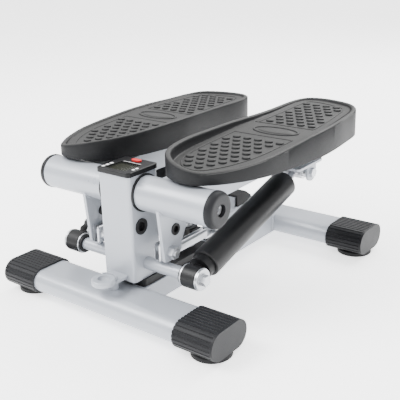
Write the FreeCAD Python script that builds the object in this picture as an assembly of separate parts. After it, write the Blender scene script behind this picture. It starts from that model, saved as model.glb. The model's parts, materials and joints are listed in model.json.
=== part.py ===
import FreeCAD, Part
import math
import os

# Compact stepper for exercise at home. Millimetres, +Z up, +X to the user's right, +Y towards the rear.
# The saved parts have their origin on the floor, under the middle of the bounding box.

Vec = FreeCAD.Vector
X_AXIS = Vec(1, 0, 0)
Z_AXIS = Vec(0, 0, 1)

# ---- driving dimensions ----
DATUM_Y = 19.0              # from the drawing's zero line, used below, to the middle of the whole
FRONT_Y = -178.0            # centre line of the front base tube
REAR_Y = 140.0              # centre line of the rear base tube
FRONT_HALF = 157.7          # half length of the front base, over its end caps
REAR_HALF = 163.8           # half length of the rear base, over its end caps
BASE_Z = 21.8               # height of both base tubes' centre lines
TUBE_W, TUBE_H = 57.0, 27.0
TUBE_WALL = 2.0
CAP_W, CAP_H = 62.0, 32.0
CAP_LENGTH = 51.4
CAP_END = 4.0
RIB_COUNT = 32
RIB_GROOVE_R = 0.9
FOOT_R = 22.5
FOOT_INSET = 23.0           # from the cap's outer face to the foot's centre

BEAM_W, BEAM_Z0, BEAM_Z1 = 56.0, 11.0, 34.5
BLOCK_W = 52.0
BLOCK_Y0, BLOCK_Y1 = -157.0, -30.0
POST_Z0, POST_Z1 = 43.5, 167.5
POST_SIDE = 46.0
AXLE_Y, AXLE_Z = -146.0, 144.8
AXLE_R = 10.0
AXLE_HALF = 113.0

SLEEVE_R, SLEEVE_BORE = 19.5, 14.5
SLEEVE_X0, SLEEVE_X1 = 25.3, 118.0
RUNNING = 0.05              # radial clearance of every running fit

BAR_Z = 60.5                # lower cross bar, which carries the cylinders
BAR_R = 7.4
BAR_HALF = 75.0
CYL_X = 86.5                # plane of each cylinder's centre line
PIN_Y, PIN_Z = 74.2, 120.5  # upper pivot of each cylinder with its pedal level
EYE_R = 13.0
EYE_X0, EYE_X1 = 79.5, 97.7
OPEN_PIVOT = 2.2            # radial clearance at the upper pivot and at the rocker's tips

LINK_Z = 82.0               # bolt that joins each lug to its link
LINK_X0, LINK_X1 = 41.0, 51.5
LUG_X0, LUG_X1 = 53.0, 57.0
LUG_PLUG_Y, LUG_PLUG_Z, LUG_PLUG_R = -136.8, 106.0, 6.0
ROCKER_Y = -50.0
ROCKER_REACH = (LINK_X0 + LINK_X1) / 2

ARM_X0, ARM_X1 = 40.0, 90.0
ARM_Z0, ARM_Z1 = 136.0, 161.0
ARM_REAR = 130.0
PLATE = 3.0

PEDAL_OUTLINE = [               # right pedal from above, level, from the toe round the outer side
    (82.0, -154.5), (95.0, -153.0), (105.0, -147.5), (113.0, -138.5), (121.5, -126.0), (130.5, -107.0),
    (138.0, -82.0), (143.0, -40.0), (145.0, 6.0), (145.5, 49.5), (143.0, 85.0), (140.3, 110.0),
    (135.0, 138.0), (122.0, 155.0), (104.0, 163.0), (84.0, 168.5), (64.0, 170.0), (50.0, 165.0),
    (41.0, 149.5), (38.0, 125.0), (38.0, 95.0), (36.5, 52.0), (32.5, 8.5), (31.0, -35.0),
    (30.5, -79.0), (33.5, -106.0), (41.5, -129.0), (53.0, -143.0), (67.0, -151.5),
]
RIM_X0, RIM_X1 = 28.0, 148.0        # the rim's height is given along these two lines
RIM_LINES = [                       # y, height at the inner line, height at the outer line
    (-175.0, 197.0, 168.0), (-150.0, 195.4, 171.8), (-130.0, 193.8, 176.0), (-100.0, 193.4, 180.0),
    (-81.0, 193.6, 182.0), (-38.0, 193.4, 185.3), (6.0, 193.2, 188.1), (50.0, 192.3, 189.4),
    (93.0, 192.0, 189.6), (136.0, 192.2, 191.2), (162.0, 192.2, 194.4), (180.0, 192.2, 195.0),
]
RIM_WIDTH = 7.0
DECK_LINE = [(-180.0, 178.5), (-130.0, 178.7), (13.0, 186.0), (180.0, 190.6)]
DECK_THICK = 3.5
SKIRT_LINE = [(-180.0, 169.5), (-65.0, 163.0), (25.0, 158.0), (180.0, 158.0)]
SKIRT_THICK = 4.0
BOSS_R = 6.0
PEDAL_PLATE_Y = (-85.0, 92.0)       # front edges of the two cross plates under the pedal
PEDAL_PLATE_LENGTH = 30.0
EAR_X = (65.0, 105.0)
SCREW_PLACES = [(x, y + PEDAL_PLATE_LENGTH / 2) for y in PEDAL_PLATE_Y for x in (52.0, 102.0)]

REST_SWING = 0.7            # degrees: at rest the right heel is this far above level, the left one below
CYL_TILT = math.atan2(PIN_Z - BAR_Z, PIN_Y - AXLE_Y)
CYL_LENGTH = math.hypot(PIN_Z - BAR_Z, PIN_Y - AXLE_Y)


# ---- building helpers ----
def box(x0, x1, y0, y1, z0, z1):
    return Part.makeBox(x1 - x0, y1 - y0, z1 - z0, Vec(x0, y0, z0))


def rod_x(r, x0, x1, y, z):
    return Part.makeCylinder(r, x1 - x0, Vec(x0, y, z), X_AXIS)


def tube_x(r, bore, x0, x1, y, z):
    return rod_x(r, x0, x1, y, z).cut(rod_x(bore, x0 - 1, x1 + 1, y, z))


def rod_z(r, x, y, z0, z1):
    return Part.makeCylinder(r, z1 - z0, Vec(x, y, z0), Z_AXIS)


def hex_x(across_flats, x0, x1, y, z):
    corner = across_flats / math.sqrt(3)
    ring = [Vec(x0, y + corner * math.cos(a), z + corner * math.sin(a))
            for a in (math.pi / 3 * i for i in range(7))]
    return Part.Face(Part.makePolygon(ring)).extrude(Vec(x1 - x0, 0, 0))


def oval_x(width, height, x0, x1, y, z):
    """Flat oval: two straight sides joined by two half circles, drawn along X."""
    r = height / 2
    flat = width / 2 - r
    body = box(x0, x1, y - flat, y + flat, z - r, z + r)
    return body.fuse(rod_x(r, x0, x1, y - flat, z)).fuse(rod_x(r, x0, x1, y + flat, z)).removeSplitter()


def rounded_wire(points, radius):
    """Closed wire through the corners of a flat polygon, each corner turned by an arc."""
    edges = []
    starts, ends = [], []
    count = len(points)
    for i, corner in enumerate(points):
        to_last = (points[i - 1] - corner).normalize()
        to_next = (points[(i + 1) % count] - corner).normalize()
        half = to_last.getAngle(to_next) / 2
        reach = radius / math.tan(half)
        middle = corner + (to_last + to_next).normalize() * (radius / math.sin(half) - radius)
        a = corner + to_last * reach
        b = corner + to_next * reach
        starts.append(a)
        ends.append(b)
        edges.append(Part.Arc(a, middle, b).toShape())
    for i in range(count):
        edges.append(Part.LineSegment(ends[i], starts[(i + 1) % count]).toShape())
    return Part.Wire(Part.__sortEdges__(edges))


def plate_x(outline_yz, x0, x1, radius):
    corners = [Vec(x0, y, z) for y, z in outline_yz]
    return Part.Face(rounded_wire(corners, radius)).extrude(Vec(x1 - x0, 0, 0))


def rounded_block(x0, x1, y0, y1, z0, z1, radius):
    corners = [Vec(x0, y0, z0), Vec(x1, y0, z0), Vec(x1, y1, z0), Vec(x0, y1, z0)]
    return Part.Face(rounded_wire(corners, radius)).extrude(Vec(0, 0, z1 - z0))


def mirrored(shape):
    return shape.mirror(Vec(0, 0, 0), X_AXIS)


def both(shape):
    return [shape, mirrored(shape)]


def save(node, *solids):
    pieces = [s for shape in solids for s in shape.Solids]
    shape = pieces[0] if len(pieces) == 1 else Part.makeCompound(pieces)
    shape.translate(Vec(0, DATUM_Y, 0))
    shape.exportStep("parts/" + node + ".step")


# ---- rest state: each side is drawn level and then moved to where its pedal's swing puts it ----
def turned(y, z, swing):
    """A point of the step, turned about the axle."""
    a = math.radians(swing)
    dy, dz = y - AXLE_Y, z - AXLE_Z
    return AXLE_Y + dy * math.cos(a) - dz * math.sin(a), AXLE_Z + dy * math.sin(a) + dz * math.cos(a)


def rest_place(group, swing):
    about_axle = FreeCAD.Placement(Vec(), FreeCAD.Rotation(X_AXIS, swing), Vec(0, AXLE_Y, AXLE_Z))
    bolt_y, bolt_z = turned(AXLE_Y, LINK_Z, swing)
    pin_y, pin_z = turned(PIN_Y, PIN_Z, swing)
    tilt = math.atan2(pin_z - BAR_Z, pin_y - AXLE_Y)
    more = math.hypot(pin_z - BAR_Z, pin_y - AXLE_Y) - CYL_LENGTH
    lean = FreeCAD.Rotation(X_AXIS, math.degrees(tilt - CYL_TILT))
    about_bar = FreeCAD.Placement(Vec(), lean, Vec(0, AXLE_Y, BAR_Z))
    slide = FreeCAD.Placement(Vec(0, math.cos(tilt), math.sin(tilt)) * more, FreeCAD.Rotation())
    places = {
        "step": about_axle,
        "link": FreeCAD.Placement(Vec(0, bolt_y - AXLE_Y, bolt_z - LINK_Z), FreeCAD.Rotation()),
        "cylinder": about_bar,
        "rod": slide.multiply(about_bar),
    }
    return places[group]


def moved(shape, place):
    shape = shape.copy()
    shape.Placement = place.multiply(shape.Placement)
    return shape


def save_pair(name, group, *solids):
    right, left = rest_place(group, REST_SWING), rest_place(group, -REST_SWING)
    save("right_" + name, *[moved(s, right) for s in solids])
    save("left_" + name, *[moved(mirrored(s), left) for s in solids])


# ---- base ----
def base_tube(half, y):
    x1 = half - CAP_END
    outer = oval_x(TUBE_W, TUBE_H, -x1, x1, y, BASE_Z)
    inner = oval_x(TUBE_W - 2 * TUBE_WALL, TUBE_H - 2 * TUBE_WALL, -x1 - 1, x1 + 1, y, BASE_Z)
    return outer.cut(inner)


def rib_grooves(half, y):
    """Shallow grooves along X, evenly spaced round the cap's flat oval."""
    r = CAP_H / 2
    flat = CAP_W / 2 - r
    straight = 2 * flat
    lap = 2 * straight + 2 * math.pi * r
    grooves = []
    for i in range(RIB_COUNT):
        s = lap * i / RIB_COUNT
        if s < straight:
            dy, dz = s - flat, r
        elif s < straight + math.pi * r:
            a = math.pi / 2 - (s - straight) / r
            dy, dz = flat + r * math.cos(a), r * math.sin(a)
        elif s < 2 * straight + math.pi * r:
            dy, dz = flat - (s - straight - math.pi * r), -r
        else:
            a = -math.pi / 2 - (s - 2 * straight - math.pi * r) / r
            dy, dz = -flat + r * math.cos(a), r * math.sin(a)
        grooves.append(rod_x(RIB_GROOVE_R, half - CAP_LENGTH - 1, half - 3, y + dy, BASE_Z + dz))
    return Part.makeCompound(grooves)


def end_cap(half, y):
    mouth = half - CAP_LENGTH
    cap = oval_x(CAP_W, CAP_H, mouth, half, y, BASE_Z)
    cap = cap.cut(oval_x(TUBE_W + 0.2, TUBE_H + 0.2, mouth - 1, half - CAP_END, y, BASE_Z))
    cap = cap.cut(rod_z(4.1, half - FOOT_INSET, y, 0, BASE_Z - TUBE_H / 2))
    return cap.cut(rib_grooves(half, y))


def foot(half, y):
    x = half - FOOT_INSET
    underside = BASE_Z - CAP_H / 2
    disc = rod_z(FOOT_R, x, y, 0, underside)
    rim = [e for e in disc.Edges if abs(e.CenterOfMass.z - underside) < 0.01 and len(e.Vertexes) == 1]
    disc = disc.makeChamfer(1.2, rim)
    return disc.fuse(rod_z(4.0, x, y, underside, BASE_Z - TUBE_H / 2 - 0.2))


def beam():
    y0, y1 = FRONT_Y, REAR_Y
    half = BEAM_W / 2
    tube = box(-half, half, y0, y1, BEAM_Z0, BEAM_Z1)
    hollow = box(-half + 2, half - 2, y0 - 1, y1 + 1, BEAM_Z0 + 2, BEAM_Z1 - 2)
    tube = tube.cut(hollow)
    for y in (y0, y1):
        tube = tube.cut(oval_x(TUBE_W, TUBE_H, -half - 1, half + 1, y, BASE_Z))
    return tube


def base_block():
    half = BLOCK_W / 2
    return rounded_block(-half, half, BLOCK_Y0, BLOCK_Y1, BEAM_Z1, POST_Z0, 4.0)


def make_base():
    save("front_base_tube", base_tube(FRONT_HALF, FRONT_Y))
    save("rear_base_tube", base_tube(REAR_HALF, REAR_Y))
    places = ((FRONT_HALF, FRONT_Y), (REAR_HALF, REAR_Y))
    save("base_end_caps", *[s for half, y in places for s in both(end_cap(half, y))])
    save("rubber_feet", *[s for half, y in places for s in both(foot(half, y))])
    save("centre_beam", beam())
    save("base_block", base_block())


# ---- upright, axle and lower bar ----
PLUG_Y, PLUG_Z, PLUG_R = -154.0, 107.5, 8.0


def upright():
    half = POST_SIDE / 2
    post = rounded_block(-half, half, AXLE_Y - half, AXLE_Y + half, POST_Z0, POST_Z1, 3.5)
    inner = half - 2.0
    hollow = box(-inner, inner, AXLE_Y - inner, AXLE_Y + inner, POST_Z0 - 1, POST_Z1 + 1)
    post = post.cut(hollow)
    post = post.cut(rod_x(AXLE_R, -half - 1, half + 1, AXLE_Y, AXLE_Z))
    post = post.cut(rod_x(BAR_R, -half - 1, half + 1, AXLE_Y, BAR_Z))
    return post.cut(rod_x(PLUG_R, -half - 1, half + 1, PLUG_Y, PLUG_Z))


def upright_plug():
    """Blanking plug: a thin flange outside the wall and a cup that grips the hole."""
    half = POST_SIDE / 2
    plug = rod_x(PLUG_R + 1.3, half, half + 1.2, PLUG_Y, PLUG_Z)
    plug = plug.fuse(rod_x(PLUG_R, half - 6, half, PLUG_Y, PLUG_Z))
    return plug.cut(rod_x(PLUG_R - 2.5, half - 3, half + 2, PLUG_Y, PLUG_Z))


def axle():
    rod = rod_x(AXLE_R, -AXLE_HALF, AXLE_HALF, AXLE_Y, AXLE_Z)
    for shape in both(rod_x(4.0, AXLE_HALF - 22, AXLE_HALF + 1, AXLE_Y, AXLE_Z)):
        rod = rod.cut(shape)
    return rod


def axle_cap():
    """Domed cap over the sleeve's outer end, with a deep recess for the bolt's head."""
    seat, brim, face = 118.3, 121.0, 126.8
    profile = [
        Part.LineSegment(Vec(115, 0, 4.2), Vec(115, 0, 13.8)),
        Part.LineSegment(Vec(115, 0, 13.8), Vec(seat, 0, 13.8)),
        Part.LineSegment(Vec(seat, 0, 13.8), Vec(seat, 0, 20.2)),
        Part.LineSegment(Vec(seat, 0, 20.2), Vec(brim, 0, 20.2)),
        Part.Arc(Vec(brim, 0, 20.2), Vec(brim + 4.1, 0, 18.5), Vec(face, 0, 14.0)),
        Part.LineSegment(Vec(face, 0, 14.0), Vec(face, 0, 6.8)),
        Part.LineSegment(Vec(face, 0, 6.8), Vec(seat + 0.5, 0, 6.8)),
        Part.LineSegment(Vec(seat + 0.5, 0, 6.8), Vec(seat + 0.5, 0, 4.2)),
        Part.LineSegment(Vec(seat + 0.5, 0, 4.2), Vec(115, 0, 4.2)),
    ]
    wire = Part.Wire([edge.toShape() for edge in profile])
    cap = Part.Face(wire).revolve(Vec(0, 0, 0), X_AXIS, 360)
    cap.translate(Vec(0, AXLE_Y, AXLE_Z))
    return cap


def axle_bolt():
    bolt = rod_x(4.0, AXLE_HALF - 20, 118.8, AXLE_Y, AXLE_Z).fuse(rod_x(6.0, 118.8, 122.4, AXLE_Y, AXLE_Z))
    return bolt.cut(hex_x(5.0, 119.9, 123.0, AXLE_Y, AXLE_Z))


def lower_eye_bolt():
    bolt = rod_x(5.0, 50.0, 101.1, AXLE_Y, BAR_Z).fuse(rod_x(7.2, 101.1, 102.3, AXLE_Y, BAR_Z))
    return bolt.fuse(hex_x(11.0, 102.3, 107.0, AXLE_Y, BAR_Z))


def lower_eye_washers():
    spans = ((77.4, 79.0, 12.4), (98.1, 99.5, 12.6), (99.7, 101.1, 12.1))
    return [tube_x(r, 5.0, x0, x1, AXLE_Y, BAR_Z) for x0, x1, r in spans]


def make_post():
    half = POST_SIDE / 2
    save("upright_post", upright())
    save("upright_plugs", *both(upright_plug()))
    save("pivot_axle", axle())
    upper_ring = tube_x(21.5, AXLE_R, half, half + 2, AXLE_Y, AXLE_Z)
    lower_ring = tube_x(11.0, 5.0, BAR_HALF, BAR_HALF + 2, AXLE_Y, BAR_Z)
    save("thrust_rings", *both(upper_ring), *both(lower_ring))
    save("axle_caps", *both(axle_cap()))
    save("axle_bolts", *both(axle_bolt()))
    save("lower_cross_bar", tube_x(BAR_R, 5.0, -BAR_HALF, BAR_HALF, AXLE_Y, BAR_Z))
    save("lower_eye_bolts", *both(lower_eye_bolt()))
    axle_washer = tube_x(13.8, 4.2, AXLE_HALF, AXLE_HALF + 2, AXLE_Y, AXLE_Z)
    save("washers", *[s for washer in [axle_washer] + lower_eye_washers() for s in both(washer)])


# ---- anchor for exercise bands ----
RING_Y, RING_Z = -194.5, 50.5
RING_R, RING_HOLE = 14.0, 7.0


def band_anchor_plate():
    front_face = AXLE_Y - POST_SIDE / 2
    plate = rounded_block(-13, 13, RING_Y, front_face, 48.0, 51.0, 1.5)
    post = rod_z(5.5, 0, FRONT_Y - 1, BASE_Z + TUBE_H / 2, 48.0)
    plate = plate.fuse(post).cut(rod_z(RING_R, 0, RING_Y, RING_Z - 3.5, RING_Z + 3.5))
    return plate.cut(rod_z(3.0, 0, FRONT_Y - 1, BASE_Z + TUBE_H / 2, 52.0))


def band_anchor_ring():
    ring = rod_z(RING_R, 0, RING_Y, RING_Z - 3.5, RING_Z + 3.5)
    ring = ring.makeFillet(2.5, [e for e in ring.Edges if len(e.Vertexes) == 1])
    return ring.cut(rod_z(RING_HOLE, 0, RING_Y, RING_Z - 5, RING_Z + 5))


def make_anchor():
    save("band_anchor_plate", band_anchor_plate())
    save("band_anchor_ring", band_anchor_ring())


# ---- counter on top of the upright ----
BEZEL_HALF = 24.5
BEZEL_Z1 = 172.8
BUTTON_Y = -130.5
LCD_X0, LCD_X1, LCD_Y0, LCD_Y1 = -12.5, 13.5, -164.0, -142.0


def slot_button(z0, z1, grow=0.0):
    """Oval pill seen from above, long across the object."""
    r = 3.0 + grow
    pill = box(-3.5, 3.5, BUTTON_Y - r, BUTTON_Y + r, z0, z1)
    for x in (-3.5, 3.5):
        pill = pill.fuse(rod_z(r, x, BUTTON_Y, z0, z1))
    return pill.removeSplitter()


def display_housing():
    y0, y1 = AXLE_Y - BEZEL_HALF - 0.5, AXLE_Y + BEZEL_HALF
    shell = rounded_block(-BEZEL_HALF, BEZEL_HALF, y0, y1, POST_Z1, BEZEL_Z1, 5.0)
    shell = shell.makeFillet(1.5, [e for e in shell.Edges
                                   if abs(e.BoundBox.ZMin - BEZEL_Z1) < 0.01
                                   and abs(e.BoundBox.ZMax - BEZEL_Z1) < 0.01])
    skirt = box(-20.6, 20.6, AXLE_Y - 20.6, AXLE_Y + 20.6, 156.0, POST_Z1)
    shell = shell.fuse(skirt)
    shell = shell.cut(box(-19, 19, AXLE_Y - 19, AXLE_Y + 19, 155.0, 170.4))
    shell = shell.cut(box(LCD_X0, LCD_X1, LCD_Y0, LCD_Y1, 170.0, 173.0))
    shell = shell.cut(box(LCD_X0 - 1.5, LCD_X1 + 1.5, LCD_Y0 - 1.5, LCD_Y1 + 1.5, 171.6, 173.0))
    return shell.cut(slot_button(170.0, 174.0, 0.3))


def make_counter():
    save("display_housing", display_housing())
    save("display_lens", box(LCD_X0 - 1.4, LCD_X1 + 1.4, LCD_Y0 - 1.4, LCD_Y1 + 1.4, 171.6, 172.6))
    save("lcd_panel", box(LCD_X0 + 0.3, LCD_X1 - 0.3, LCD_Y0 + 0.3, LCD_Y1 - 0.3, 168.2, 171.2))
    save("circuit_board", box(-18.5, 18.5, AXLE_Y - 18.5, AXLE_Y + 18.5, 166.6, 168.2))
    save("counter_battery", rod_z(5.8, -8.0, AXLE_Y, 160.0, 165.4))
    cover = box(-18.8, 18.8, AXLE_Y - 18.8, AXLE_Y + 18.8, 156.0, 157.5)
    save("battery_cover", cover.fuse(rod_z(6.5, -8.0, AXLE_Y, 157.5, 159.8)))
    save("reset_button", slot_button(169.6, 174.4))
    save("reed_sensor", box(8, 20.8, AXLE_Y - 17, AXLE_Y - 12.5, 140, 154))


# ---- step: everything that swings with one pedal ----
def sleeve_bushes():
    spans = ((SLEEVE_X0, 47.0), (91.0, AXLE_HALF - 0.3))
    return [tube_x(SLEEVE_BORE - 0.02, AXLE_R + RUNNING, x0, x1, AXLE_Y, AXLE_Z) for x0, x1 in spans]


def link_lug():
    outline = [(-163, ARM_Z0), (-156, 72), (-135, 72), (-127.5, 80), (-127, 88), (-116.5, 106)]
    outline += [(-117, ARM_Z0)]
    lug = plate_x(outline, LUG_X0, LUG_X1, 2.5)
    lug = lug.cut(rod_x(SLEEVE_R, LUG_X0 - 1, LUG_X1 + 1, AXLE_Y, AXLE_Z))
    lug = max(lug.Solids, key=lambda s: s.Volume)
    lug = lug.cut(rod_x(4.0, LUG_X0 - 1, LUG_X1 + 1, AXLE_Y, LINK_Z))
    return lug.cut(rod_x(LUG_PLUG_R, LUG_X0 - 1, LUG_X1 + 1, LUG_PLUG_Y, LUG_PLUG_Z))


def lug_plug():
    plug = rod_x(LUG_PLUG_R + 0.8, LUG_X1, LUG_X1 + 1.2, LUG_PLUG_Y, LUG_PLUG_Z)
    plug = plug.fuse(rod_x(LUG_PLUG_R, LUG_X0 - 2, LUG_X1, LUG_PLUG_Y, LUG_PLUG_Z))
    return plug.cut(rod_x(LUG_PLUG_R - 2, LUG_X1 - 3, LUG_X1 + 2, LUG_PLUG_Y, LUG_PLUG_Z))


def pedal_arm():
    """Rectangular tube coped to the sleeve, with cross plates for the pedal and ears for the cylinder."""
    arm = box(ARM_X0, ARM_X1, AXLE_Y, ARM_REAR, ARM_Z0, ARM_Z1)
    arm = arm.cut(box(ARM_X0 + 2, ARM_X1 - 2, AXLE_Y - 1, ARM_REAR + 1, ARM_Z0 + 2, ARM_Z1 - 2))
    arm = arm.cut(rod_x(SLEEVE_R, ARM_X0 - 1, ARM_X1 + 1, AXLE_Y, AXLE_Z))
    for y0 in PEDAL_PLATE_Y:
        arm = arm.fuse(rounded_block(44, 112, y0, y0 + PEDAL_PLATE_LENGTH, ARM_Z1, ARM_Z1 + PLATE, 4))
    arm = arm.fuse(rounded_block(58, 114, PIN_Y - 42, PIN_Y + 18, ARM_Z0 - PLATE, ARM_Z0, 4))
    for x0 in EAR_X:
        ear = box(x0, x0 + PLATE, PIN_Y - 11, PIN_Y + 11, PIN_Z, ARM_Z0 - PLATE)
        ear = ear.fuse(rod_x(11, x0, x0 + PLATE, PIN_Y, PIN_Z))
        arm = arm.fuse(ear)
    arm = arm.cut(rod_x(4.0, EAR_X[0] - 1, EAR_X[1] + PLATE + 1, PIN_Y, PIN_Z))
    for x, y in SCREW_PLACES:
        arm = arm.cut(rod_z(3.2, x, y, ARM_Z1 - 2, ARM_Z1 + PLATE + 1))
    return arm.removeSplitter()


def cylinder_top_bolt():
    eye_half = 11.3
    outer = EAR_X[1] + PLATE
    bolt = rod_x(4.0, EAR_X[0] - 7.5, outer, PIN_Y, PIN_Z)
    bolt = bolt.fuse(hex_x(11.0, outer, outer + 3.6, PIN_Y, PIN_Z))
    nut = hex_x(12.0, EAR_X[0] - 6.5, EAR_X[0], PIN_Y, PIN_Z).cut(rod_x(4.0, 50, 70, PIN_Y, PIN_Z))
    inner_spacer = tube_x(7.0, 4.0, EAR_X[0] + PLATE, CYL_X - eye_half, PIN_Y, PIN_Z)
    outer_spacer = tube_x(7.0, 4.0, CYL_X + eye_half, EAR_X[1], PIN_Y, PIN_Z)
    return [bolt, nut, inner_spacer, outer_spacer]


def link_bolt():
    """Bolt through the link and the lug, its domed head inside and its nut outside."""
    bolt = rod_x(4.0, 39.6, 66.5, AXLE_Y, LINK_Z)
    head = Part.makeCone(4.5, 7.0, 3.6, Vec(36.0, AXLE_Y, LINK_Z), X_AXIS)
    bolt = bolt.fuse(head)
    washer_in = tube_x(8.0, 4.0, 39.6, 40.8, AXLE_Y, LINK_Z)
    spacer = tube_x(7.0, 4.0, LINK_X1 + 0.2, LUG_X0, AXLE_Y, LINK_Z)
    nut = hex_x(13.0, LUG_X1, LUG_X1 + 7.5, AXLE_Y, LINK_Z).cut(rod_x(4.0, 50, 70, AXLE_Y, LINK_Z))
    return [bolt, washer_in, spacer, nut]


def pedal_wire(inset, z):
    """The pedal's outline at height z, drawn in by the given amount."""
    points = [Vec(x, y, z) for x, y in PEDAL_OUTLINE]
    curve = Part.BSplineCurve()
    curve.interpolate(Points=points, PeriodicFlag=True)
    if inset:
        tangents = [curve.tangent(curve.parameter(p))[0] for p in points]
        drawn_in = [p + Vec(-t.y, t.x, 0) * inset for p, t in zip(points, tangents)]
        curve = Part.BSplineCurve()
        curve.interpolate(Points=drawn_in, PeriodicFlag=True)
    return Part.Wire([curve.toShape()])


def pedal_prism(inset, z0, z1):
    return Part.Face(pedal_wire(inset, z0)).extrude(Vec(0, 0, z1 - z0))


def wedge_x(outline_yz):
    """Solid across the whole pedal with the given side view."""
    corners = [Vec(0, y, z) for y, z in outline_yz]
    return Part.Face(Part.makePolygon(corners + corners[:1])).extrude(Vec(200, 0, 0))


def below_deck(depth):
    """Everything lower than the foot deck's surface by at least the given depth."""
    return wedge_x([(y, z - depth) for y, z in DECK_LINE] + [(180, 120), (-180, 120)])


def below_skirt():
    return wedge_x(SKIRT_LINE + [(180, 120), (-180, 120)])


def above_rim():
    """Everything higher than the rim, whose height differs from the inner side to the outer."""
    sides = []
    for x, column in ((RIM_X0, 1), (RIM_X1, 2)):
        corners = [Vec(x, line[0], line[column]) for line in RIM_LINES]
        corners += [Vec(x, RIM_LINES[-1][0], 230), Vec(x, RIM_LINES[0][0], 230)]
        sides.append(Part.makePolygon(corners + corners[:1]))
    return Part.makeLoft(sides, True, True)


def pedal():
    """Moulded tray: raised rim, foot deck that climbs from toe to heel, hollow skirt, four screw bosses."""
    tray = pedal_prism(0, 140, 205).cut(above_rim())
    tray = tray.cut(pedal_prism(RIM_WIDTH, 140, 205).cut(below_deck(0)))
    tray = tray.cut(pedal_prism(SKIRT_THICK, 130, 205).common(below_deck(DECK_THICK)))
    tray = tray.cut(below_skirt())
    arm_relief = box(ARM_X0 - 0.6, ARM_X1, -130, ARM_REAR + 2, 140, ARM_Z1 + 0.6)
    tray = tray.cut(arm_relief)
    for x, y in SCREW_PLACES:
        boss = rod_z(BOSS_R, x, y, ARM_Z1 + PLATE, RIM_LINES[0][1])
        tray = tray.fuse(boss.common(below_deck(DECK_THICK / 2)))
    for x, y in SCREW_PLACES:
        tray = tray.cut(rod_z(2.6, x, y, ARM_Z1, ARM_Z1 + PLATE + 4.5))
    return tray.removeSplitter()


def pedal_screws():
    screws = []
    for x, y in SCREW_PLACES:
        seat = ARM_Z1 if x > ARM_X1 else ARM_Z1 - 2
        shank = rod_z(2.5, x, y, seat, ARM_Z1 + PLATE + 4)
        screws.append(shank.fuse(rod_z(5.0, x, y, seat - 3, seat)))
    return screws


def make_step():
    save_pair("pivot_sleeve", "step", tube_x(SLEEVE_R, SLEEVE_BORE, SLEEVE_X0, SLEEVE_X1, AXLE_Y, AXLE_Z))
    save_pair("sleeve_bushes", "step", *sleeve_bushes())
    save_pair("link_lug", "step", link_lug())
    save_pair("lug_plug", "step", lug_plug())
    save_pair("pedal_arm", "step", pedal_arm())
    save_pair("cylinder_top_bolt", "step", *cylinder_top_bolt())
    save_pair("link_bolt", "step", *link_bolt())
    save_pair("pedal", "step", pedal())
    save_pair("pedal_screws", "step", *pedal_screws())


# ---- balance linkage: the rocker turns one pedal's fall into the other's rise ----
def link():
    """Upright channel from the lug's bolt back to a flat eye over the rocker's tip."""
    wall = 2.5
    z0, z1 = 71.0, 83.0
    front, flange_end = -157.0, -70.0
    side = [(front, z0), (flange_end, z0), (flange_end, z1), (-122, z1), (-134, 93), (front, 93)]
    channel = plate_x(side, LINK_X0, LINK_X1, 3.0)
    bends = [e for e in channel.Edges
             if e.BoundBox.ZMax < z0 + 0.01 and e.BoundBox.YLength > 50 and e.BoundBox.XLength < 0.01]
    channel = channel.makeFillet(3.5, bends)
    channel = channel.cut(box(LINK_X0 + wall, LINK_X1 - wall, front - 1, flange_end + 1, z0 + wall, 100))
    tongue = box(LINK_X0, LINK_X1, flange_end - 6, ROCKER_Y, z0, z0 + wall)
    tongue = tongue.fuse(rod_z(11.0, ROCKER_REACH, ROCKER_Y, z0, z0 + wall))
    channel = channel.fuse(tongue)
    channel = channel.cut(rod_x(4.0 + RUNNING, LINK_X0 - 1, LINK_X1 + 1, AXLE_Y, LINK_Z))
    return channel.cut(rod_z(4.0 + OPEN_PIVOT, ROCKER_REACH, ROCKER_Y, z0 - 1, z0 + wall + 1))


def rocker():
    z0, z1 = 60.0, 68.0
    bar = box(-ROCKER_REACH, ROCKER_REACH, ROCKER_Y - 8, ROCKER_Y + 8, z0, z1)
    for x in (-ROCKER_REACH, ROCKER_REACH):
        bar = bar.fuse(rod_z(8.0, x, ROCKER_Y, z0, z1))
    bar = bar.fuse(rod_z(16.0, 0, ROCKER_Y, 50.0, 69.5)).removeSplitter()
    bar = bar.cut(rod_z(6.0 + RUNNING, 0, ROCKER_Y, 40.0, 80.0))
    for x in (-ROCKER_REACH, ROCKER_REACH):
        bar = bar.cut(rod_z(4.0, x, ROCKER_Y, 50.0, 80.0))
    return bar


def rocker_place():
    """The rocker turned so that its right tip has followed the right lug's bolt."""
    travel = turned(AXLE_Y, LINK_Z, REST_SWING)[0] - AXLE_Y
    angle = math.degrees(math.atan2(travel, ROCKER_REACH))
    return FreeCAD.Placement(Vec(), FreeCAD.Rotation(Z_AXIS, angle), Vec(0, ROCKER_Y, 0))


def rocker_tip_pin():
    pin = rod_z(4.0, ROCKER_REACH, ROCKER_Y, 57.0, 80.5)
    pin = pin.fuse(rod_z(6.5, ROCKER_REACH, ROCKER_Y, 57.0, 60.0))
    return pin.fuse(rod_z(8.0, ROCKER_REACH, ROCKER_Y, 75.6, 79.0))


def rocker_pin():
    pin = rod_z(12.0, 0, ROCKER_Y, POST_Z0, 49.8)
    pin = pin.fuse(rod_z(6.0, 0, ROCKER_Y, 49.8, 76.0))
    return pin.fuse(rod_z(10.0, 0, ROCKER_Y, 69.8, 74.0))


STOP_HALF = 46.0
STOP_Z0 = 84.0


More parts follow.
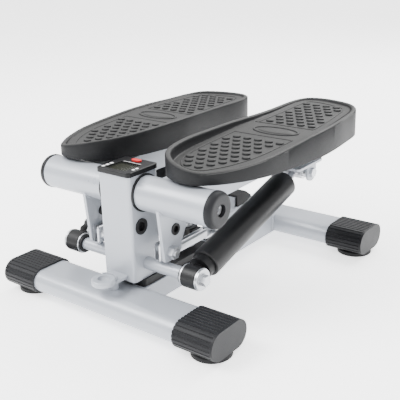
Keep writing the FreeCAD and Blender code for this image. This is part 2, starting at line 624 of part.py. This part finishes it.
def stop_bracket():
    post = box(-12.5, 12.5, 2, 27, BEAM_Z1, STOP_Z0).cut(box(-10.5, 10.5, 4, 25, BEAM_Z1 - 1, STOP_Z0 + 1))
    saddle = rounded_block(-STOP_HALF, STOP_HALF, -4, 32, STOP_Z0, STOP_Z0 + PLATE, 3)
    lip = box(-STOP_HALF + 3, STOP_HALF - 3, -4, -1, STOP_Z0 + PLATE, 99.0)
    return post.fuse(saddle).fuse(lip).removeSplitter()


def rubber_stop():
    side = [(-1, STOP_Z0 + PLATE), (30, STOP_Z0 + PLATE), (30, 94.5), (18, 103.2), (-1, 101.8)]
    return plate_x(side, 29.0, STOP_HALF, 1.5)


def make_linkage():
    save_pair("link", "link", link())
    place = rocker_place()
    save("balance_rocker", moved(rocker(), place))
    save("rocker_tip_pins", *[moved(s, place) for s in both(rocker_tip_pin())])
    save("rocker_pin", rocker_pin())
    save("stop_bracket", stop_bracket())
    save("rubber_stops", *both(rubber_stop()))


# ---- hydraulic cylinder ----
PISTON_S = 96.0             # distances along the cylinder are from its lower pivot
BODY_END_S = 184.0
COVER_S0, COVER_S1 = 24.0, 196.0
HEAD_END_S = 199.0
CYL_BORE = 12.0
ROD_R = 5.0


def along(s):
    return Vec(CYL_X, AXLE_Y + s * math.cos(CYL_TILT), BAR_Z + s * math.sin(CYL_TILT))


def rod_s(r, s0, s1):
    direction = Vec(0, math.cos(CYL_TILT), math.sin(CYL_TILT))
    return Part.makeCylinder(r, s1 - s0, along(s0), direction)


def cylinder_body():
    eye = rod_x(EYE_R, EYE_X0, EYE_X1, AXLE_Y, BAR_Z)
    body = rod_s(13.8, 14.5, BODY_END_S).fuse(rod_s(6.9, 4, 20)).fuse(eye)
    body = body.cut(rod_s(CYL_BORE, 26, BODY_END_S + 1))
    return body.cut(rod_x(8.0, EYE_X0 - 10, EYE_X1 + 10, AXLE_Y, BAR_Z)).removeSplitter()


def cylinder_cover():
    cover = rod_s(17.0, COVER_S0, COVER_S1)
    cover = cover.makeFillet(1.8, [e for e in cover.Edges if len(e.Vertexes) == 1])
    return cover.cut(rod_s(13.85, COVER_S0 - 1, COVER_S1 + 1))


def cylinder_head():
    head = rod_s(13.75, BODY_END_S, HEAD_END_S).fuse(rod_s(CYL_BORE - 0.02, BODY_END_S - 10, BODY_END_S))
    return head.cut(rod_s(ROD_R + RUNNING, BODY_END_S - 11, HEAD_END_S + 1))


def piston_rod():
    rod = rod_s(ROD_R, PISTON_S, CYL_LENGTH - 6).fuse(rod_s(CYL_BORE - 0.08, PISTON_S, PISTON_S + 12))
    rod = rod.fuse(rod_x(10.0, CYL_X - 11, CYL_X + 11, PIN_Y, PIN_Z))
    return rod.cut(rod_x(4.0 + OPEN_PIVOT, CYL_X - 12, CYL_X + 12, PIN_Y, PIN_Z)).removeSplitter()


def make_cylinders():
    save_pair("cylinder_body", "cylinder", cylinder_body())
    save_pair("cylinder_cover", "cylinder", cylinder_cover())
    save_pair("cylinder_head", "cylinder", cylinder_head())
    bush = tube_x(7.98, 5.0 + RUNNING, EYE_X0 - 0.2, EYE_X1 + 0.2, AXLE_Y, BAR_Z)
    save_pair("lower_eye_bush", "cylinder", bush)
    save_pair("piston_rod", "rod", piston_rod())


os.makedirs("parts", exist_ok=True)
make_base()
make_post()
make_anchor()
make_counter()
make_step()
make_linkage()
make_cylinders()
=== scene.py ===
import bpy
import bmesh
import json
import math
import random
import numpy as np
from mathutils import Matrix, Vector


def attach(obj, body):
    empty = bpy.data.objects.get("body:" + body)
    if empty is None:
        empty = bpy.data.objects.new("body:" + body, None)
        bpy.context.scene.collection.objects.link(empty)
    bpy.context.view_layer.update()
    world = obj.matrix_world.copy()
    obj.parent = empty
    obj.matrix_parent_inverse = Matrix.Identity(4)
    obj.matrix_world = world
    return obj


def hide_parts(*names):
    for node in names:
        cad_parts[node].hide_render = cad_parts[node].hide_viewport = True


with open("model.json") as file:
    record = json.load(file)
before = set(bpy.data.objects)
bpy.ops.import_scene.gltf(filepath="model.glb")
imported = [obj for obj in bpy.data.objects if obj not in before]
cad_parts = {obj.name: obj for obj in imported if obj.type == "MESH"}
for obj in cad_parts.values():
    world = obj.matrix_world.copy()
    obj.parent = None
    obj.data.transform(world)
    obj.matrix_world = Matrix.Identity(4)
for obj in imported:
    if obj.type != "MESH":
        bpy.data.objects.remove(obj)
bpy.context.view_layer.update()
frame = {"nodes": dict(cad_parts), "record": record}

# Looks of the compact stepper. Shapes are drawn in millimetres on the part's own drawing lines:
# +X right, +Y rear, +Z up, with the axle at AXLE_Y, AXLE_Z. to_frame() turns them into metres
# in the shared frame.

random.seed(7)

# ---- driving dimensions ----
DATUM_Y = 19.0                  # from the drawing's zero line to the middle of the whole
AXLE_Y, AXLE_Z = -146.0, 144.8
REST_SWING = 0.7                # degrees: right heel up, left heel down
OUTLINE = [                     # right pedal from above, level, from the toe round the outer side
    (82.0, -154.5), (95.0, -153.0), (105.0, -147.5), (113.0, -138.5), (121.5, -126.0), (130.5, -107.0),
    (138.0, -82.0), (143.0, -40.0), (145.0, 6.0), (145.5, 49.5), (143.0, 85.0), (140.3, 110.0),
    (135.0, 138.0), (122.0, 155.0), (104.0, 163.0), (84.0, 168.5), (64.0, 170.0), (50.0, 165.0),
    (41.0, 149.5), (38.0, 125.0), (38.0, 95.0), (36.5, 52.0), (32.5, 8.5), (31.0, -35.0),
    (30.5, -79.0), (33.5, -106.0), (41.5, -129.0), (53.0, -143.0), (67.0, -151.5),
]
RIM_X = (28.0, 148.0)
RIM_Y = (-175.0, -150.0, -130.0, -100.0, -81.0, -38.0, 6.0, 50.0, 93.0, 136.0, 162.0, 180.0)
RIM_INNER = (197.0, 195.4, 193.8, 193.4, 193.6, 193.4, 193.2, 192.3, 192.0, 192.2, 192.2, 192.2)
RIM_OUTER = (168.0, 171.8, 176.0, 180.0, 182.0, 185.3, 188.1, 189.4, 189.6, 191.2, 194.4, 195.0)
DECK_Y, DECK_Z = (-180.0, -130.0, 13.0, 180.0), (178.5, 178.7, 186.0, 190.6)
SKIRT_Y, SKIRT_Z = (-180.0, -65.0, 25.0, 180.0), (169.5, 163.0, 158.0, 158.0)
DECK_THICK = 3.5
EMBLEM_X, EMBLEM_Y = 92.0, 13.5
BUMP_PITCH_X, BUMP_PITCH_Y = 14.6, 11.4
DISPLAY_TOP = 172.8

CAMERA_AT = Vector((0.52488, -0.67611, 0.40363))
CAMERA_AZ, CAMERA_EL, CAMERA_ROLL = math.radians(37.758), math.radians(19.969), math.radians(-1.461)
CAMERA_LENS = 64.78


# ---- materials ----
def noise(tree, scale, detail, coords):
    node = tree.nodes.new("ShaderNodeTexNoise")
    node.inputs["Scale"].default_value = scale
    node.inputs["Detail"].default_value = detail
    tree.links.new(coords, node.inputs["Vector"])
    return node.outputs["Fac"]


def ranged(tree, value, low, high, start=0.3, end=0.7):
    node = tree.nodes.new("ShaderNodeMapRange")
    node.inputs["From Min"].default_value = start
    node.inputs["From Max"].default_value = end
    node.inputs["To Min"].default_value = low
    node.inputs["To Max"].default_value = high
    tree.links.new(value, node.inputs["Value"])
    return node.outputs["Result"]


def mixed(tree, factor, first, second):
    """Colour mix. Either colour may be a tuple or an output."""
    node = tree.nodes.new("ShaderNodeMix")
    node.data_type = "RGBA"
    tree.links.new(factor, node.inputs[0])
    for socket, colour in ((node.inputs[6], first), (node.inputs[7], second)):
        if isinstance(colour, tuple):
            socket.default_value = (*colour, 1.0)
        else:
            tree.links.new(colour, socket)
    return node.outputs[2]


def scaled(colour, k):
    return tuple(min(c * k, 1.0) for c in colour)


def finish_of(name, colour, rough, metallic=0.0, grain=900.0, bump=0.12, worn=1.12, patch=14.0,
              spread=0.07, painted_top_light=None, ends=None, coat=0.0, shine=0.5, stretch=(1.0, 1.0, 1.0)):
    """Procedural finish: fine grain in the bump, patches of wear in the colour and roughness, and
    optional painted light: lighter colours on faces turned up and on faces turned along X.
    """
    mat = bpy.data.materials.new(name)
    mat.use_nodes = True
    tree = mat.node_tree
    shader = tree.nodes["Principled BSDF"]
    coords = tree.nodes.new("ShaderNodeTexCoord").outputs["Object"]
    mapping = tree.nodes.new("ShaderNodeMapping")
    mapping.inputs["Scale"].default_value = stretch
    tree.links.new(coords, mapping.inputs["Vector"])
    fine = noise(tree, grain, 2.0, mapping.outputs["Vector"])
    broad = noise(tree, patch, 4.0, coords)
    base = mixed(tree, ranged(tree, broad, 0.0, 1.0, 0.45, 0.75), colour, scaled(colour, worn))
    geometry = tree.nodes.new("ShaderNodeNewGeometry")
    parts = tree.nodes.new("ShaderNodeSeparateXYZ")
    tree.links.new(geometry.outputs["Normal"], parts.inputs[0])
    # Painted light: faces turned upwards are blended towards a lighter colour, standing in for the
    # light falling on tops.
    if painted_top_light:
        base = mixed(tree, ranged(tree, parts.outputs["Z"], 0.0, 1.0, 0.55, 0.98), base, painted_top_light)
    # Painted light: faces turned along X are blended towards a lighter colour, standing in for light on
    # the end faces.
    if ends:
        size = tree.nodes.new("ShaderNodeMath")
        size.operation = "ABSOLUTE"
        tree.links.new(parts.outputs["X"], size.inputs[0])
        base = mixed(tree, ranged(tree, size.outputs[0], 0.0, 1.0, 0.85, 0.99), base, ends)
    speckle = mixed(tree, ranged(tree, fine, 0.0, 0.35, 0.5, 0.8), base, scaled(colour, 0.8))
    tree.links.new(speckle, shader.inputs["Base Color"])
    tree.links.new(ranged(tree, broad, rough - spread, rough + spread), shader.inputs["Roughness"])
    relief = tree.nodes.new("ShaderNodeBump")
    relief.inputs["Strength"].default_value = bump
    relief.inputs["Distance"].default_value = 0.0006
    tree.links.new(fine, relief.inputs["Height"])
    tree.links.new(relief.outputs["Normal"], shader.inputs["Normal"])
    shader.inputs["Metallic"].default_value = metallic
    shader.inputs["Specular IOR Level"].default_value = shine
    shader.inputs["Coat Weight"].default_value = coat
    shader.inputs["Coat Roughness"].default_value = 0.2
    return mat


BLACK = (0.0055, 0.0056, 0.0062)
LOOKS = {                       # one finish for each of the record's material slots
    "frame_paint": dict(colour=(0.33, 0.35, 0.385), rough=0.34, grain=1400.0, bump=0.06, worn=1.05,
                        metallic=0.15, coat=0.15),
    "black_steel": dict(colour=BLACK, rough=0.46, bump=0.1, worn=1.6, shine=0.25),
    "zinc": dict(colour=(0.56, 0.575, 0.6), rough=0.36, metallic=0.9, grain=700.0, bump=0.03,
                 worn=0.9, patch=60.0),
    "axle_steel": dict(colour=(0.55, 0.55, 0.57), rough=0.3, metallic=1.0, grain=500.0, bump=0.08,
                       worn=0.85, stretch=(1.0, 6.0, 6.0)),
    # cap_plastic: its lighter colours for up-facing faces and for end faces along X are painted light
    # on the same black plastic.
    "cap_plastic": dict(colour=(0.007, 0.0073, 0.0085), rough=0.48, bump=0.22, worn=1.4,
                        painted_top_light=(0.009, 0.0095, 0.011), ends=(0.028, 0.0285, 0.03), shine=0.16),
    "foot_rubber": dict(colour=BLACK, rough=0.66, bump=0.3, worn=1.5, shine=0.25),
    # pedal_plastic: its lighter colour for up-facing faces is painted light, the deck lit lighter than
    # the walls of the same black plastic.
    "pedal_plastic": dict(colour=(0.008, 0.0083, 0.009), rough=0.5, grain=1100.0, bump=0.35,
                          worn=1.3, painted_top_light=(0.036, 0.036, 0.0355), spread=0.06, shine=0.12),
    "bush_plastic": dict(colour=BLACK, rough=0.45, bump=0.12, worn=1.3, shine=0.3),
    "cover_plastic": dict(colour=BLACK, rough=0.42, grain=1000.0, bump=0.12, worn=1.5, shine=0.3),
    "black_rubber": dict(colour=BLACK, rough=0.6, bump=0.25, worn=1.5, shine=0.25),
    "bezel_plastic": dict(colour=BLACK, rough=0.4, bump=0.08, worn=1.4, shine=0.16),
    "lens_clear": dict(colour=(0.04, 0.042, 0.034), rough=0.12, grain=300.0, bump=0.01, spread=0.03,
                       shine=0.15),
    "lcd_olive": dict(colour=(0.0125, 0.0135, 0.008), rough=0.35, bump=0.03, worn=1.08, shine=0.15),
    "board_green": dict(colour=(0.02, 0.13, 0.06), rough=0.4),
    "cell_steel": dict(colour=(0.7, 0.7, 0.68), rough=0.3, metallic=1.0, worn=0.9),
    "button_red": dict(colour=(0.5, 0.008, 0.012), rough=0.42, bump=0.08, worn=1.1),
}
LENS_ALPHA = 0.12


def make_finishes():
    made = {name: finish_of(name, **look) for name, look in LOOKS.items()}
    lens = made["lens_clear"].node_tree.nodes["Principled BSDF"]
    lens.inputs["Alpha"].default_value = LENS_ALPHA
    return made


# ---- building helpers ----
def turn(side):
    """Matrix that swings a level step of one side to its rest pose, about the axle."""
    centre = Vector((0, AXLE_Y, AXLE_Z))
    swing = Matrix.Rotation(math.radians(REST_SWING * side), 4, "X")
    return Matrix.Translation(centre) @ swing @ Matrix.Translation(-centre)


def to_frame(side=1, swings=False):
    """Matrix from the drawing, in mm and for the right side, to the shared frame, in metres."""
    mirror = Matrix.Diagonal((side, 1, 1, 1))
    lean = turn(side) if swings else Matrix()
    shift = Matrix.Translation((0, DATUM_Y, 0))
    return Matrix.Scale(0.001, 4) @ shift @ lean @ mirror


def piece(name, bm, finish, body, side=1, swings=False):
    """Mesh object from a bmesh drawn in mm, which rides on a body."""
    bm.transform(to_frame(side, swings))
    bmesh.ops.remove_doubles(bm, verts=bm.verts, dist=1e-7)
    bmesh.ops.recalc_face_normals(bm, faces=bm.faces)
    mesh = bpy.data.meshes.new(name)
    bm.to_mesh(mesh)
    bm.free()
    mesh.materials.append(finish)
    for face in mesh.polygons:
        face.use_smooth = True
    mesh.set_sharp_from_angle(angle=math.radians(50))
    obj = bpy.data.objects.new(name, mesh)
    bpy.context.scene.collection.objects.link(obj)
    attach(obj, body)
    return obj


def join_rings(bm, rings):
    """Skin through rings of the same number of points."""
    rows = [[bm.verts.new(p) for p in ring] for ring in rings]
    for low, high in zip(rows, rows[1:]):
        for i in range(len(low)):
            j = (i + 1) % len(low)
            bm.faces.new((low[i], low[j], high[j], high[i]))
    return rows


def closed_spline(points, count):
    """Points along the periodic cubic through the given ones, with chord lengths as the parameter."""
    p = np.array(points)
    n = len(p)
    h = np.linalg.norm(np.roll(p, -1, axis=0) - p, axis=1)
    slopes = (np.roll(p, -1, axis=0) - p) / h[:, None]
    system = np.zeros((n, n))
    right = np.zeros((n, 2))
    for i in range(n):
        before, after = h[i - 1], h[i]
        system[i, i - 1] += before
        system[i, i] += 2 * (before + after)
        system[i, (i + 1) % n] += after
        right[i] = 6 * (slopes[i] - slopes[i - 1])
    m = np.linalg.solve(system, right)
    knots = np.concatenate(([0.0], np.cumsum(h)))
    curve = []
    for s in np.linspace(0.0, knots[-1], count, endpoint=False):
        i = min(int(np.searchsorted(knots, s, side="right")) - 1, n - 1)
        j = (i + 1) % n
        a, b = knots[i + 1] - s, s - knots[i]
        curve.append((m[i] * a ** 3 + m[j] * b ** 3) / (6 * h[i])
                     + (p[i] / h[i] - m[i] * h[i] / 6) * a + (p[j] / h[i] - m[j] * h[i] / 6) * b)
    return np.array(curve)


def inset_path(curve, depth):
    """A closed anticlockwise path drawn in along its own normals."""
    along = np.roll(curve, -1, axis=0) - np.roll(curve, 1, axis=0)
    along /= np.linalg.norm(along, axis=1)[:, None]
    return curve + np.stack((-along[:, 1], along[:, 0]), axis=1) * depth


def inside(path, x, y):
    hit = False
    for (x0, y0), (x1, y1) in zip(path, np.roll(path, -1, axis=0)):
        if (y0 > y) != (y1 > y) and x < (x1 - x0) * (y - y0) / (y1 - y0) + x0:
            hit = not hit
    return hit


def softened(path, times):
    """Corner cutting: each pass puts two points on every side of a closed path."""
    for _ in range(times):
        ahead = np.roll(path, -1, axis=0)
        path = np.stack((path * 0.75 + ahead * 0.25, path * 0.25 + ahead * 0.75), axis=1).reshape(-1, 2)
    return path


RIDGE_SECTION = (               # across in half widths, up in heights
    (-1.0, -0.4), (-0.85, 0.35), (-0.45, 0.85), (0.0, 1.0), (0.45, 0.85), (0.85, 0.35), (1.0, -0.4),
)
DOME_SECTION = (                # out in radii, up in heights
    (1.0, -0.25), (0.95, 0.45), (0.84, 0.82), (0.62, 0.97), (0.3, 1.0), (0.02, 1.0),
)


def add_ridge(bm, path, half, height, ground):
    """Low half-round line along a closed path on the ground surface."""
    along = np.roll(path, -1, axis=0) - np.roll(path, 1, axis=0)
    along /= np.linalg.norm(along, axis=1)[:, None]
    normal = np.stack((-along[:, 1], along[:, 0]), axis=1)
    rings = []
    for across, up in RIDGE_SECTION:
        row = path + normal * (across * half)
        rings.append([Vector((x, y, ground(x, y) + up * height)) for x, y in row])
    join_rings(bm, rings)


def add_dome(bm, x, y, rx, ry, height, ground, segments=16):
    """Low oval button on the ground surface."""
    rings = []
    for k, up in DOME_SECTION:
        ring = []
        for i in range(segments):
            a = 2 * math.pi * i / segments
            px, py = x + rx * k * math.cos(a), y + ry * k * math.sin(a)
            ring.append(Vector((px, py, ground(px, py) + up * height)))
        rings.append(ring)
    rows = join_rings(bm, rings)
    bm.faces.new(rows[-1])


BEAD_SIDES = 8


def add_bead(bm, path, radius, wobble):
    """Round bead of uneven thickness along an open path, with flat ends."""
    rings = []
    last = len(path) - 1
    for i, p in enumerate(path):
        t = (path[min(i + 1, last)] - path[max(i - 1, 0)]).normalized()
        side = t.orthogonal() if abs(t.z) > 0.9 else t.cross(Vector((0, 0, 1)))
        side.normalize()
        up = side.cross(t)
        r = radius * (1 + wobble * math.sin(i * 2.1) + wobble * 0.5 * random.uniform(-1, 1))
        rings.append([p + (side * math.cos(a) + up * math.sin(a)) * r
                      for a in (2 * math.pi * k / BEAD_SIDES for k in range(BEAD_SIDES))])
    rows = join_rings(bm, rings)
    bm.faces.new(rows[0])
    bm.faces.new(rows[-1])


# ---- pedals ----
CURVE_POINTS = 260              # points round the pedal's edge
SPINE_X, SPINE_Y = 89.0, (-100.0, 112.0)
WALL_INSET = 4.2                # from the pedal's edge to the wall's inner face, under the deck
DECK_INSET = 9.4                # from the pedal's edge to the flat of the deck
RIM_SECTION = (                 # in from the pedal's edge, down from the rim's height
    (0.15, 3.0), (0.35, 1.7), (0.9, 0.8), (1.8, 0.2), (3.2, 0.0), (4.8, 0.1), (5.9, 0.6), (6.6, 1.5),
)
FAR = 200.0                     # past the pedal at either end
TOE_PANEL_END, HEEL_PANEL_START = -9.0, 37.0
PANEL_INSET, BUMPS_INSET, BUMPS_GAP = 17.0, 21.5, 6.0
TOE_BUMPS_Y, HEEL_BUMPS_Y = (-139.0, -13.0), (47.0, 160.0)
BUMP_RX, BUMP_RY, BUMP_HEIGHT = 5.1, 4.1, 2.0
OVAL_RX, OVAL_RY = 29.5, 13.0


def deck(x, y):
    return float(np.interp(y, DECK_Y, DECK_Z))


def skirt(x, y):
    return float(np.interp(y, SKIRT_Y, SKIRT_Z))


def rim(x, y):
    inner, outer = np.interp(y, RIM_Y, RIM_INNER), np.interp(y, RIM_Y, RIM_OUTER)
    k = (x - RIM_X[0]) / (RIM_X[1] - RIM_X[0])
    return float(inner * (1 - k) + outer * k)


def toward_spine(path, k):
    """A path drawn towards the line down the pedal's middle."""
    spine = np.stack((np.full(len(path), SPINE_X), np.clip(path[:, 1], *SPINE_Y)), axis=1)
    return path * (1 - k) + spine * k


def tray(bm):
    """The moulded tray: outer wall, rounded rim, inner wall, deck and hollow underside."""
    curve = closed_spline(OUTLINE, CURVE_POINTS)
    rings = []

    def ring(inset, height, lowest=None):
        path = inset_path(curve, inset)
        rings.append([Vector((x, y, max(height(x, y), lowest(x, y)) if lowest else height(x, y)))
                      for x, y in path])

    ring(WALL_INSET, lambda x, y: deck(x, y) - DECK_THICK)
    ring(3.4, skirt)
    ring(0.8, skirt)
    ring(0.15, lambda x, y: skirt(x, y) + 0.7)
    for inset, drop in RIM_SECTION:
        ring(inset, lambda x, y: rim(x, y) - drop, lambda x, y: deck(x, y) + 0.35)
    ring(7.0, lambda x, y: rim(x, y) - 3.4, lambda x, y: deck(x, y) + 0.2)
    ring(7.5, lambda x, y: deck(x, y) + 0.9)
    ring(8.2, lambda x, y: deck(x, y) + 0.25)
    ring(DECK_INSET, deck)
    inner = inset_path(curve, DECK_INSET)
    for k in (0.2, 0.45, 0.7, 0.9, 1.0):
        rings.append([Vector((x, y, deck(x, y))) for x, y in toward_spine(inner, k)])
    join_rings(bm, rings)
    under = inset_path(curve, WALL_INSET)
    join_rings(bm, [[Vector((x, y, deck(x, y) - DECK_THICK)) for x, y in toward_spine(under, k)]
                    for k in (0.0, 0.3, 0.6, 0.9, 1.0)])
    return curve


def panel(curve, y0, y1, inset):
    """Closed outline of one bump field: the pedal's edge drawn in, cut off square at both ends."""
    path = inset_path(curve, inset)
    clipped = np.stack((path[:, 0], np.clip(path[:, 1], y0, y1)), axis=1)
    keep = [clipped[0]]
    for p in clipped[1:]:
        if np.linalg.norm(p - keep[-1]) > 1.2:
            keep.append(p)
    return softened(np.array(keep), 2)


def bumps(bm, field, y0, y1):
    """Staggered rows of oval bumps inside a closed outline."""
    row = 0
    y = y0
    while y < y1:
        x = EMBLEM_X - 6 * BUMP_PITCH_X + (BUMP_PITCH_X / 2 if row % 2 else 0.0)
        while x < EMBLEM_X + 6 * BUMP_PITCH_X:
            if inside(field, x, y):
                add_dome(bm, x, y, BUMP_RX, BUMP_RY, BUMP_HEIGHT, deck)
            x += BUMP_PITCH_X
        y += BUMP_PITCH_Y
        row += 1


def make_pedal(word, side, finish):
    bm = bmesh.new()
    curve = tray(bm)
    for y0, y1 in ((-FAR, TOE_PANEL_END), (HEEL_PANEL_START, FAR)):
        add_ridge(bm, panel(curve, y0, y1, PANEL_INSET), 0.9, 0.7, deck)
    bumps(bm, panel(curve, -FAR, TOE_PANEL_END - BUMPS_GAP, BUMPS_INSET), *TOE_BUMPS_Y)
    bumps(bm, panel(curve, HEEL_PANEL_START + BUMPS_GAP, FAR, BUMPS_INSET), *HEEL_BUMPS_Y)
    angles = np.linspace(0.0, 2 * math.pi, 64, endpoint=False)
    oval = np.stack((EMBLEM_X + OVAL_RX * np.cos(angles), EMBLEM_Y + OVAL_RY * np.sin(angles)), axis=1)
    add_ridge(bm, oval, 1.5, 1.2, deck)
    add_dome(bm, EMBLEM_X, EMBLEM_Y, 24.5, 9.0, 0.9, deck, 48)
    obj = piece(word + "_pedal_moulding", bm, finish, word + "_step", side, True)
    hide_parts(word + "_pedal")


# ---- display marks ----
MARK_ROWS = (                   # x range, half length along y, and each mark's y
    ((-20.5, -17.0), 2.0, (-164.0, -157.5, -151.0)),
    ((17.5, 20.8), 1.6, (-157.0, -151.5)),
)


def flat_patch(bm, x0, x1, y0, y1, z, corner=0.4):
    """Thin printed patch with cut corners, a little above the surface at z."""
    corners = [(x0 + corner, y0), (x1 - corner, y0), (x1, y0 + corner), (x1, y1 - corner),
               (x1 - corner, y1), (x0 + corner, y1), (x0, y1 - corner), (x0, y0 + corner)]
    low = [Vector((x, y, z - 0.1)) for x, y in corners]
    high = [Vector((x, y, z + 0.06)) for x, y in corners]
    rows = join_rings(bm, [low, high])
    bm.faces.new(rows[-1])


def make_display_marks():
    bm = bmesh.new()
    for (x0, x1), half, places in MARK_ROWS:
        for y in places:
            flat_patch(bm, x0, x1, y - half, y + half, DISPLAY_TOP)
    flat_patch(bm, -12.5, 13.5, -138.4, -137.9, DISPLAY_TOP, 0.1)
    white = finish_of("print_white", (0.8, 0.8, 0.8), 0.5, bump=0.04, worn=0.92)
    piece("display_marks", bm, white, "frame")


# ---- welds ----
LUG_FACES = (52.9, 57.1)        # x of the two beads of a lug on its sleeve
SLEEVE_BEAD_R = 19.9
BEAM_SIDE, BEAM_END_Y = 28.2, 112.0
RING_Y, RING_R, RING_FACES = -194.5, 14.0, (47.2, 53.9)


def around_x(x, y, z, r, start, end, count):
    return [Vector((x, y + r * math.cos(a), z + r * math.sin(a)))
            for a in np.radians(np.linspace(start, end, count))]


def line(start, end, count):
    a, b = Vector(start), Vector(end)
    return [a.lerp(b, i / (count - 1)) for i in range(count)]


def make_welds(finish):
    for word, side in (("right", 1), ("left", -1)):
        bm = bmesh.new()
        for x in LUG_FACES:
            add_bead(bm, around_x(x, AXLE_Y, AXLE_Z, SLEEVE_BEAD_R, 215, 325, 34), 1.1, 0.18)
        piece(word + "_lug_weld", bm, finish, word + "_step", side, True)
    bm = bmesh.new()
    for x in (-BEAM_SIDE, BEAM_SIDE):
        add_bead(bm, line((x, BEAM_END_Y, 13.0), (x, BEAM_END_Y, 34.0), 20), 1.6, 0.2)
    add_bead(bm, line((-27.0, BEAM_END_Y, 34.8), (27.0, BEAM_END_Y, 34.8), 40), 1.4, 0.2)
    piece("beam_weld", bm, finish, "frame")
    bm = bmesh.new()
    for z in RING_FACES:
        ring = [Vector((RING_R * math.cos(a), RING_Y + RING_R * math.sin(a), z))
                for a in np.radians(np.linspace(40, 140, 26))]
        add_bead(bm, ring, 0.9, 0.2)
    piece("ring_weld", bm, finish, "frame")


# ---- floor, light and camera ----
FLOOR_HALF, FLOOR_POINTS = 15.0, 7
FLOOR_GLOW, SKY_STRENGTH = 1.6, 2.3
LAMPS = (                       # name, place, size in metres, power in watts
    ("key", (-0.9, -1.0, 1.5), 1.0, 60.0),
    ("fill", (1.6, -0.6, 0.8), 1.2, 9.0),
    ("back", (0.1, 1.5, 1.5), 1.2, 55.0),
)


def make_studio():
    bm = bmesh.new()
    rows = []
    grid = np.linspace(-FLOOR_HALF, FLOOR_HALF, FLOOR_POINTS)
    for y in grid:
        rows.append([bm.verts.new((x, y, 0.0)) for x in grid])
    for low, high in zip(rows, rows[1:]):
        for i in range(FLOOR_POINTS - 1):
            bm.faces.new((low[i], low[i + 1], high[i + 1], high[i]))
    mesh = bpy.data.meshes.new("floor")
    bm.to_mesh(mesh)
    bm.free()
    pale = finish_of("floor_pale", (0.93, 0.93, 0.93), 0.75, grain=200.0, bump=0.02, worn=1.01,
                     patch=1.0)
    shader = pale.node_tree.nodes["Principled BSDF"]
    shader.inputs["Emission Color"].default_value = (1.0, 1.0, 1.0, 1.0)
    shader.inputs["Emission Strength"].default_value = FLOOR_GLOW
    mesh.materials.append(pale)
    floor = bpy.data.objects.new("floor", mesh)
    bpy.context.scene.collection.objects.link(floor)

    world = bpy.data.worlds.new("studio")
    bpy.context.scene.world = world
    world.use_nodes = True
    tree = world.node_tree
    parts = tree.nodes.new("ShaderNodeSeparateXYZ")
    tree.links.new(tree.nodes.new("ShaderNodeTexCoord").outputs["Generated"], parts.inputs[0])
    height = ranged(tree, parts.outputs["Z"], 0.0, 1.0, 0.0, 0.8)
    sky = mixed(tree, height, (0.32, 0.32, 0.33), (1.0, 1.0, 1.0))
    tree.links.new(sky, tree.nodes["Background"].inputs["Color"])
    tree.nodes["Background"].inputs["Strength"].default_value = SKY_STRENGTH

    for name, at, size, power in LAMPS:
        data = bpy.data.lights.new(name, "AREA")
        data.size = size
        data.energy = power
        lamp = bpy.data.objects.new(name, data)
        bpy.context.scene.collection.objects.link(lamp)
        lamp.location = at
        aim = Vector((0.0, 0.0, 0.1)) - lamp.location
        lamp.rotation_euler = aim.to_track_quat("-Z", "Y").to_euler()


def make_camera():
    data = bpy.data.cameras.new("camera")
    data.lens = CAMERA_LENS
    data.sensor_width = 36.0
    camera = bpy.data.objects.new("camera", data)
    bpy.context.scene.collection.objects.link(camera)
    flat = math.cos(CAMERA_EL)
    back = Vector((math.sin(CAMERA_AZ) * flat, -math.cos(CAMERA_AZ) * flat, math.sin(CAMERA_EL)))
    right = Vector((math.cos(CAMERA_AZ), math.sin(CAMERA_AZ), 0.0))
    up = back.cross(right)
    rolled = right * math.cos(CAMERA_ROLL) + up * math.sin(CAMERA_ROLL)
    above = up * math.cos(CAMERA_ROLL) - right * math.sin(CAMERA_ROLL)
    matrix = Matrix((rolled, above, back)).transposed().to_4x4()
    matrix.translation = CAMERA_AT
    camera.matrix_world = matrix
    bpy.context.scene.camera = camera


def dress_nodes(finishes):
    """Gives every CAD node its material slot's finish."""
    for part in frame["record"]["subparts"]:
        node = frame["nodes"][part["node"]]
        node.data.materials.clear()
        node.data.materials.append(finishes[part["material_slot"]])


finishes = make_finishes()
dress_nodes(finishes)
for word, side in (("right", 1), ("left", -1)):
    make_pedal(word, side, finishes["pedal_plastic"])
make_display_marks()
make_welds(finishes["frame_paint"])
make_studio()
make_camera()
